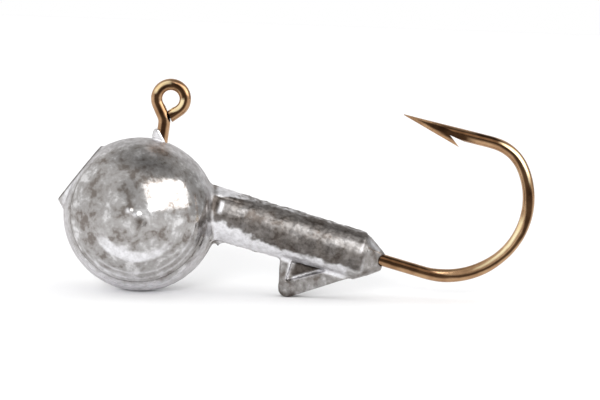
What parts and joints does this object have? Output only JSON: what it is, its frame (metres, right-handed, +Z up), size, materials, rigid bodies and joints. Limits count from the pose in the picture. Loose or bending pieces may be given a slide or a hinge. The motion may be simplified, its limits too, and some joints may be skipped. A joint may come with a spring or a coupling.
{
  "type": "jig head",
  "caption": "Round lead jig head cast on a bent fishing hook, with a line eye on top, a bait collar, a pocketed keeper fin and a barbed point.",
  "frame": {"origin": "middle of the overall length and width, on the flat surface that the ball and the keeper's tip rest on", "axes": "+X from the ball towards the hook bend, level; +Z up towards the line eye; the hook and the mould's parting line lie in the XZ plane, so Y is across the jig"},
  "size_m": [0.0495, 0.016, 0.0222],
  "materials": {
    "bronzed_hook_wire": "glossy bronze lacquer over hardened steel wire",
    "cast_lead": "bright as-cast lead, semi-gloss, mottled with grey oxide and fine mould marks"
  },
  "bodies": {
    "root": {"jig_hook": "bronzed_hook_wire", "lead_casting": "cast_lead"}
  },
  "joints": []
}
